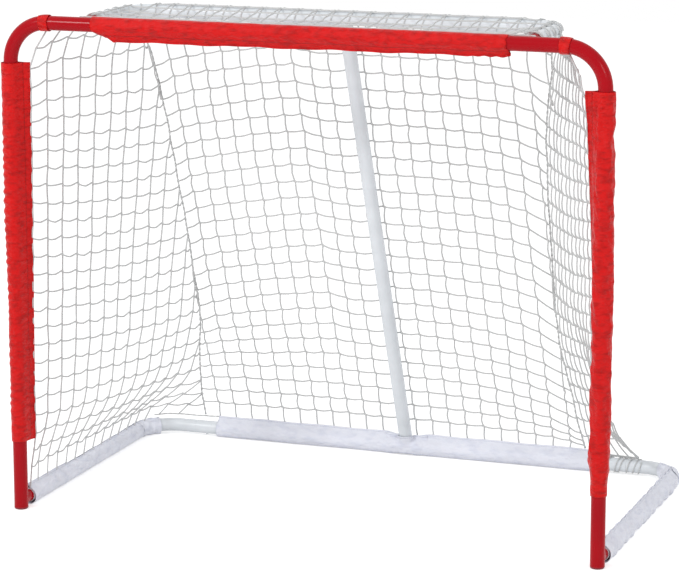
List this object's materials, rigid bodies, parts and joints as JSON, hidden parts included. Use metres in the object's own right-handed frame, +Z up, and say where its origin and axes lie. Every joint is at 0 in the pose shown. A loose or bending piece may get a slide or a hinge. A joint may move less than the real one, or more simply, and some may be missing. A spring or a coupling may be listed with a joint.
{
  "type": "street hockey goal",
  "caption": "Slip-together steel tube goal with a sloping laced cord net, a top shelf, a back brace and fabric sleeves round the posts, crossbar and base.",
  "frame": {"origin": "middle of the goal's footprint, on the floor under the foot caps", "axes": "+X across the mouth to the right as seen from the front, the mouth faces -Y, +Z up"},
  "size_m": [1.3784, 0.7726, 1.1209],
  "materials": {
    "red_powder_coat": "gloss crimson powder coat",
    "white_powder_coat": "gloss cool white powder coat",
    "red_sleeve_fabric": "wrinkled coated polyester, red",
    "white_sleeve_fabric": "wrinkled coated polyester, white",
    "net_cord": "braided white cord",
    "foot_cap_plastic": "dark red moulded plastic",
    "button_steel": "zinc-plated steel",
    "spring_steel": "tempered spring steel"
  },
  "bodies": {
    "goal_frame": {"left_post": "red_powder_coat", "right_post": "red_powder_coat", "crossbar": "red_powder_coat", "left_shelf_arm": "white_powder_coat", "right_shelf_arm": "white_powder_coat", "shelf_rear_bar": "white_powder_coat", "back_brace": "white_powder_coat", "left_base_tube": "white_powder_coat", "right_base_tube": "white_powder_coat", "base_rear_bar": "white_powder_coat", "left_foot_cap": "foot_cap_plastic", "right_foot_cap": "foot_cap_plastic", "crossbar_sleeve": "red_sleeve_fabric", "left_post_sleeve": "red_sleeve_fabric", "right_post_sleeve": "red_sleeve_fabric", "left_corner_strap": "red_sleeve_fabric", "right_corner_strap": "red_sleeve_fabric", "left_base_sleeve": "white_sleeve_fabric", "right_base_sleeve": "white_sleeve_fabric", "left_rear_sleeve": "white_sleeve_fabric", "right_rear_sleeve": "white_sleeve_fabric", "left_base_wrap": "white_sleeve_fabric", "right_base_wrap": "white_sleeve_fabric", "back_net": "net_cord", "left_side_net": "net_cord", "right_side_net": "net_cord", "top_net": "net_cord", "left_base_front_spring": "spring_steel", "right_base_front_spring": "spring_steel", "left_base_rear_spring": "spring_steel", "right_base_rear_spring": "spring_steel", "left_shelf_front_spring": "spring_steel", "right_shelf_front_spring": "spring_steel", "left_shelf_rear_spring": "spring_steel", "right_shelf_rear_spring": "spring_steel"},
    "left_base_front_snap": {"left_base_front_button": "button_steel"},
    "right_base_front_snap": {"right_base_front_button": "button_steel"},
    "left_base_rear_snap": {"left_base_rear_button": "button_steel"},
    "right_base_rear_snap": {"right_base_rear_button": "button_steel"},
    "left_shelf_front_snap": {"left_shelf_front_button": "button_steel"},
    "right_shelf_front_snap": {"right_shelf_front_button": "button_steel"},
    "left_shelf_rear_snap": {"left_shelf_rear_button": "button_steel"},
    "right_shelf_rear_snap": {"right_shelf_rear_button": "button_steel"}
  },
  "joints": [
    {"name": "left_base_front_press", "type": "slide", "parent": "goal_frame", "child": "left_base_front_snap", "axis": [0, 0, -1], "range_m": [0, 0.0042], "stiffness_N_per_m": 800, "springref_m": -0.003, "deforming": ["left_base_front_spring"]},
    {"name": "right_base_front_press", "type": "slide", "parent": "goal_frame", "child": "right_base_front_snap", "axis": [0, 0, -1], "range_m": [0, 0.0042], "stiffness_N_per_m": 800, "springref_m": -0.003, "deforming": ["right_base_front_spring"]},
    {"name": "left_base_rear_press", "type": "slide", "parent": "goal_frame", "child": "left_base_rear_snap", "axis": [0, 0, 1], "range_m": [0, 0.0042], "stiffness_N_per_m": 800, "springref_m": -0.003, "deforming": ["left_base_rear_spring"]},
    {"name": "right_base_rear_press", "type": "slide", "parent": "goal_frame", "child": "right_base_rear_snap", "axis": [0, 0, 1], "range_m": [0, 0.0042], "stiffness_N_per_m": 800, "springref_m": -0.003, "deforming": ["right_base_rear_spring"]},
    {"name": "left_shelf_front_press", "type": "slide", "parent": "goal_frame", "child": "left_shelf_front_snap", "axis": [0, 0, 1], "range_m": [0, 0.0042], "stiffness_N_per_m": 800, "springref_m": -0.003, "deforming": ["left_shelf_front_spring"]},
    {"name": "right_shelf_front_press", "type": "slide", "parent": "goal_frame", "child": "right_shelf_front_snap", "axis": [0, 0, 1], "range_m": [0, 0.0042], "stiffness_N_per_m": 800, "springref_m": -0.003, "deforming": ["right_shelf_front_spring"]},
    {"name": "left_shelf_rear_press", "type": "slide", "parent": "goal_frame", "child": "left_shelf_rear_snap", "axis": [0, 0, 1], "range_m": [0, 0.0042], "stiffness_N_per_m": 800, "springref_m": -0.003, "deforming": ["left_shelf_rear_spring"]},
    {"name": "right_shelf_rear_press", "type": "slide", "parent": "goal_frame", "child": "right_shelf_rear_snap", "axis": [0, 0, 1], "range_m": [0, 0.0042], "stiffness_N_per_m": 800, "springref_m": -0.003, "deforming": ["right_shelf_rear_spring"]}
  ]
}
